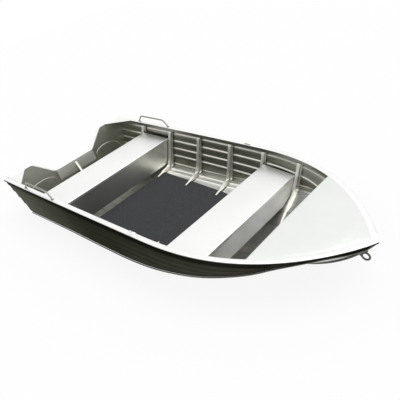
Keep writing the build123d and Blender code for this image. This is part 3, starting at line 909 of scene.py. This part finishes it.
def carpetHalf(station):
    pairs = list(zip(carpet["stations"], carpet["halves"]))
    for (a, ha), (b, hb) in zip(pairs, pairs[1:]):
        if station <= b:
            break
    return ha + (hb - ha) * (station - a) / (b - a)


def carpetLevel(station):
    return bottomHeight(station, carpetHalf(station)) + carpet["seam"]


def restHeight(station, y):
    if carpet["first"] <= station <= carpet["last"] and y < carpetHalf(station) + 0.015:
        return carpetLevel(station) + carpet["thick"]
    return bottomHeight(station, y)


# Frames down the sides

frames = {
    # station, length of the foot, how far its tip stands ahead of the frame
    "stations": ((0.453, 0.240, 0.0), (0.885, 0.252, 0.020), (1.297, 0.268, 0.026), (1.711, 0.290, 0.032),
                 (2.110, 0.264, 0.020), (2.524, 0.400, 0.060)),
    "half": 0.015, "deep": 0.046, "headDrop": 0.037, "kneeRise": 0.088, "bend": 0.065, "bendRise": 0.034,
    "lip": 0.013, "wall": 0.0022, "dish": 0.0030, "tab": 0.22, "tip": 0.42, "tipRows": 9,
    "footTop": 0.0065, "footGap": 0.0015, "counts": (16, 10, 18, 3, 3),
}


def framePath(station, foot):
    chineY, chineZ = chineAt(station)
    onFloor = lambda y, gap: Vector((y, bottomHeight(station, y) + gap))
    headZ = sheer(station) - frames["headDrop"]
    headY = inboard(station, gunwale["wide"] + 0.001) - 0.006
    cornerY = chineY - 0.016
    cornerZ = bottomHeight(station, cornerY) + 0.002
    kneeZ = cornerZ + frames["kneeRise"]
    kneeY = sideInner(station, kneeZ) - frames["deep"]
    footY = chineY - 0.014 - foot
    bendY = chineY - frames["bend"]
    rest = restHeight(station, footY)
    inner = [Vector((footY, rest + frames["footTop"])), onFloor(bendY, frames["bendRise"]),
             Vector((kneeY, kneeZ)), Vector((headY, headZ - 0.014)), Vector((headY + 0.008, headZ - 0.003)),
             Vector((headY + 0.030, headZ))]
    wallFoot = Vector((sideInner(station, cornerZ + 0.012) - 0.003, cornerZ + 0.014))
    wallHead = Vector((sideInner(station, headZ) - hull["ledgeStep"] - 0.003, headZ - 0.012))
    outer = [Vector((footY, rest + frames["footGap"])), onFloor(cornerY - 0.02, 0.003), wallFoot, wallHead,
             wallHead + Vector((0, 0.008)), wallHead + Vector((0, 0.012))]
    return inner, outer


def alongPath(corners, counts):
    points = []
    for first, second, count in zip(corners, corners[1:], counts):
        points += [first.lerp(second, k / count) for k in range(count)]
    return points + [corners[-1]]


def easePath(points, passes):
    for _ in range(passes):
        middle = [before * 0.25 + point * 0.5 + after * 0.25
                  for before, point, after in zip(points, points[1:], points[2:])]
        points = [points[0], *middle, points[-1]]
    return points


def framePiece(number, station, foot, ahead):
    inner, outer = framePath(station, foot)
    counts = frames["counts"]
    inner, outer = easePath(alongPath(inner, counts), 2), easePath(alongPath(outer, counts), 2)
    half, lip, dish, tip = frames["half"], frames["lip"], frames["dish"], frames["tip"]
    total = len(inner) - 1
    rows = []
    for i, (top, root) in enumerate(zip(inner, outer)):
        taper = tip + (1 - tip) * smoothStep(i / frames["tipRows"])
        dome = 1 + frames["tab"] * smoothStep((i - (total - 8)) / 3) - 0.5 * smoothStep((i - (total - 4)) / 4)
        wide = half * taper * dome
        onHull = lip * smoothStep((i - 5) / 6) * smoothStep((total - 3 - i) / 3)
        corner = min(0.004, (top - root).length * 0.4)
        web = (root - top).normalized() * corner
        hollow = (root - top).normalized() * min(dish, (top - root).length * 0.3)
        edge = wide - min(corner, wide * 0.5)
        line = [(-wide - onHull, root), (-wide - onHull * 0.5, root), (-wide, root + (top - root) * 0.06),
                (-wide, top.lerp(root, 0.45)), (-wide, top + web), (-wide + corner * 0.35, top + web * 0.3),
                (-edge, top), (-edge * 0.55, top), (-edge * 0.35, top + hollow), (edge * 0.35, top + hollow),
                (edge * 0.55, top), (edge, top), (wide - corner * 0.35, top + web * 0.3), (wide, top + web),
                (wide, top.lerp(root, 0.45)), (wide, root + (top - root) * 0.06), (wide + onHull * 0.5, root),
                (wide + onHull, root)]
        swing = ahead * max(1 - i / 20, 0)
        row = []
        for x, p in line:
            follow = bottomHeight(station + swing + x, p.x) - bottomHeight(station, p.x)
            follow *= 1 - smoothStep((i - 16) / 16)
            row.append(Vector((placeX(station) + swing + x, p.x, p.y + follow)))
        rows.append(row)
    piece = sheetPiece(f"frame{number}Port", rows, [metal["frameMetal"]], "frame", [f"frame_{number}"],
                       thick=frames["wall"], outward=1, sharp=50)
    mirrorPiece(piece, f"frame{number}Starboard")


for number, (station, foot, ahead) in enumerate(frames["stations"], start=1):
    framePiece(number, station, foot, ahead)
print("frames made")


# Handles, rowlocks and bow eye

handles = {"stations": (0.392, 0.432, 0.785, 0.850), "rise": 0.068, "radius": 0.0080, "bend": 0.030,
           "inset": 0.024, "footRadius": 0.014, "footThick": 0.004, "footStretch": 1.4,
           "footLevels": ((1.0, 0.0), (1.0, 0.4), (0.9, 0.8), (0.6, 1.0))}


def handlePiece(side):
    heights = (0.0, handles["rise"], handles["rise"], 0.0)
    corners = [(placeX(s), side * inboard(s, handles["inset"]), sheer(s) + rise + 0.001)
               for s, rise in zip(handles["stations"], heights)]
    word = hand(side)
    tubePiece(f"handle{word}", roundedPath(corners, handles["bend"], 8), handles["radius"],
              metal["polishedBar"], "fittings", [f"handle_{word.lower()}"], sides=6)
    for end, corner in (("Aft", corners[0]), ("Forward", corners[-1])):
        rings = []
        for share, rise in handles["footLevels"]:
            wide = handles["footRadius"] * share
            long, z = wide * handles["footStretch"], corner[2] - 0.0005 + handles["footThick"] * rise
            rings.append([Vector((corner[0] + long * cos(a), corner[1] + wide * sin(a), z))
                          for a in circle(24)])
        barPiece(f"handleFoot{word}{end}", rings, [metal["polishedBar"]], "fittings", sharp=30)


handlePiece(1)
handlePiece(-1)

rowlock = {"station": 1.929, "inset": 0.027, "long": 0.078, "wide": 0.034, "high": 0.022, "bore": 0.007,
           "dip": 0.008, "flatHalf": 0.016, "slope": 0.012}


def rowlockPiece(side):
    r = rowlock
    word = hand(side)
    centre = Vector((placeX(r["station"]), side * inboard(r["station"], r["inset"]), sheer(r["station"])))
    long, wide, high = r["long"] / 2, r["wide"] / 2, r["high"]
    outer = roundedPath([(-long, -wide), (long, -wide), (long, wide), (-long, wide)], 0.009, 6, True)
    bore = [p.normalized() * r["bore"] for p in outer]
    levels = [(outer, 0.0005, 1.0), (outer, high - 0.004, 1.0), (outer, high - 0.001, 0.975),
              (outer, high, 0.93), (bore, high, 1.25), (bore, high - 0.0015, 1.0), (bore, 0.0005, 1.0)]
    rings = []
    for ring, z, scale in levels:
        row = []
        for p in ring:
            slope = smoothStep((abs(p.x * scale) - r["flatHalf"]) / r["slope"])
            dip = r["dip"] * slope if z > high - 0.005 else 0
            row.append(centre + Vector((p.x * scale, p.y * scale, z - dip)))
        rings.append(row)
    rings.append([p.copy() for p in rings[0]])
    verts = [p for ring in rings for p in ring]
    faces = gridFaces(len(rings), len(outer), closed=True)
    piece = addPiece(f"rowlock{word}", verts, faces, [metal["satinSheet"]], "fittings",
                     [f"rowlock_{word.lower()}"])
    join = piece.modifiers.new("weld", "WELD")
    join.merge_threshold = 0.00005
    settle(piece, 35)


rowlockPiece(1)
rowlockPiece(-1)

eye = {"station": 3.468, "height": 0.275, "ring": 0.0295, "bar": 0.0075, "lugHalf": 0.005,
       "lug": ((-0.050, -0.002), (-0.030, -0.014), (-0.012, 0.028), (0.016, 0.050), (0.004, 0.055),
               (-0.044, 0.006))}


def bowEye():
    centre = Vector((placeX(eye["station"]), 0, eye["height"]))
    ring = [centre + Vector((eye["ring"] * cos(a), 0, eye["ring"] * sin(a))) for a in circle(48)]
    tubePiece("bowEyeRing", ring, eye["bar"], metal["eyeBarPaintedReflection"], "fittings", ["bow_eye"], closed=True, sides=6)
    rings = [[centre + Vector((x, y, z)) for x, z in eye["lug"]] for y in (-eye["lugHalf"], eye["lugHalf"])]
    barPiece("bowEyeLug", rings, [metal["eyeBarPaintedReflection"]], "fittings", sharp=30)


bowEye()
print("fittings made")


# Carpet

def carpetPiece():
    rows = []
    for r in range(carpet["rows"] + 1):
        station = carpet["first"] + (carpet["last"] - carpet["first"]) * r / carpet["rows"]
        row = []
        for k in range(-carpet["across"], carpet["across"] + 1):
            half = carpetHalf(station) + carpet["wander"] * noise.noise(Vector((station * 9, k * 0.01, 3.0)))
            y = half * k / carpet["across"]
            lift = carpet["lift"] * (1 + noise.noise(Vector((station * 6, y * 6, 0.5))))
            row.append(Vector((placeX(station), y, carpetLevel(station) + lift)))
        rows.append(row)
    return sheetPiece("carpetSheet", rows, [carpetPile], "carpet", ["carpet"], thick=carpet["thick"] - 0.001,
                      outward=1, sharp=60)


carpetSheet = carpetPiece()
carpetArea = sum(p.area for p in carpetSheet.data.polygons) / 2
print("carpet laid, one face is", round(carpetArea, 3), "square metres")


# Parts of the frame that are shown as they are

shownAsMade = {
    "keel": metal["trimPaintedShade"], "strakes": metal["trimPaintedShade"], "quarter_plates": metal["satinSheet"],
    "seat_aft_base": metal["satinSheet"], "seat_forward_base": metal["satinSheet"], "drain_plug": plugPlastic,
}
for node, look in shownAsMade.items():
    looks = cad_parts[node].data.materials
    looks.clear()
    looks.append(look)


# Floor, light and camera

studio = {"floorHalf": 9.0, "floorColour": (0.95, 0.95, 0.95), "shadowShare": 0.14, "worldStrength": 0.62,
          "keyStrength": 1.25, "keyAngle": 55, "keyFrom": (0.25, 0.15, 1.0)}


def waterlineLoop():
    half = [(transom["foot"] + 0.0015, 0.0)]
    for u in (i / 10 for i in range(lastSection * 10)):
        station, chineY, chineZ, top = sectionAt(u)
        keelZ = keelHeight(station)
        if keelZ + sheet / 2 < 0:
            half.append((station, chineY * (-keelZ - sheet / 2) / (chineZ - keelZ)))
    half[1] = (half[0][0], half[1][1])
    half.append((stemStation(-sheet / 2), 0.0))
    loop = half + [(s, -y) for s, y in half[-2:0:-1]]
    return [Vector((placeX(s), y, 0)) for s, y in loop]


def seenRays(nodes, links):
    path = nodes.new("ShaderNodeLightPath")
    seen = mathNode(nodes, links, "MAXIMUM", path.outputs["Is Camera Ray"], path.outputs["Is Glossy Ray"])
    return mathNode(nodes, links, "MAXIMUM", seen, path.outputs["Is Transmission Ray"])


def floorPiece():
    edge = studio["floorHalf"]
    outer = [Vector((x * edge, y * edge, 0)) for x, y in ((-1, -1), (1, -1), (1, 1), (-1, 1))]
    loop = waterlineLoop()
    faces = [tuple(t) for t in tessellate_polygon([outer, loop])]
    mesh = bpy.data.meshes.new("studioFloor")
    mesh.from_pydata([tuple(v) for v in outer + loop], [], faces)
    floor = newObject("studioFloor", mesh)
    finish, nodes, links = startFinish("floorPaint")[:3]
    nodes.clear()
    out = nodes.new("ShaderNodeOutputMaterial")
    paint, glow = nodes.new("ShaderNodeBsdfDiffuse"), nodes.new("ShaderNodeEmission")
    paint.inputs["Color"].default_value = (*studio["floorColour"], 1)
    blend = nodes.new("ShaderNodeMixShader")
    share = mathNode(nodes, links, "MULTIPLY", seenRays(nodes, links), 1 - studio["shadowShare"])
    links.new(share, blend.inputs["Fac"])
    links.new(paint.outputs["BSDF"], blend.inputs[1])
    links.new(glow.outputs["Emission"], blend.inputs[2])
    links.new(blend.outputs["Shader"], out.inputs["Surface"])
    mesh.materials.append(finish)


def lightStudio():
    world = bpy.data.worlds.new("studioWorld")
    bpy.context.scene.world = world
    world.use_nodes = True
    nodes, links = world.node_tree.nodes, world.node_tree.links
    nodes.clear()
    out = nodes.new("ShaderNodeOutputWorld")
    sky = nodes.new("ShaderNodeBackground")
    level = rangeNode(nodes, links, seenRays(nodes, links), studio["worldStrength"], 1.0, 0.0, 1.0)
    links.new(level, sky.inputs["Strength"])
    sky.inputs["Color"].default_value = (1, 1, 1, 1)
    links.new(sky.outputs["Background"], out.inputs["Surface"])
    key = bpy.data.lights.new("overheadSoftbox", "SUN")
    key.energy = studio["keyStrength"]
    key.angle = radians(studio["keyAngle"])
    lamp = newObject("overheadSoftbox", key)
    lamp.rotation_mode = "QUATERNION"
    lamp.rotation_quaternion = Vector(studio["keyFrom"]).to_track_quat("Z", "Y")


view = {"spot": (2.7246, -2.5000, 2.6289), "yaw": 135.72, "pitch": -33.25, "roll": -10.83, "lens": 43.2}


def setCamera():
    yaw, pitch, roll = (radians(view[k]) for k in ("yaw", "pitch", "roll"))
    ahead = Vector((cos(yaw) * cos(pitch), sin(yaw) * cos(pitch), sin(pitch)))
    right = Vector((sin(yaw), -cos(yaw), 0))
    up = right.cross(ahead)
    turnedRight = right * cos(roll) + up * sin(roll)
    turnedUp = up * cos(roll) - right * sin(roll)
    data = bpy.data.cameras.new("photoCamera")
    data.lens = view["lens"]
    camera = bpy.data.objects.new("photoCamera", data)
    columns = (turnedRight, turnedUp, -ahead, Vector(view["spot"]))
    for c, column in enumerate(columns):
        for r in range(3):
            camera.matrix_world[r][c] = column[r]
    bpy.context.scene.collection.objects.link(camera)
    bpy.context.scene.camera = camera


floorPiece()
lightStudio()
setCamera()
bpy.context.scene.view_settings.view_transform = "Standard"
print("scene ready")
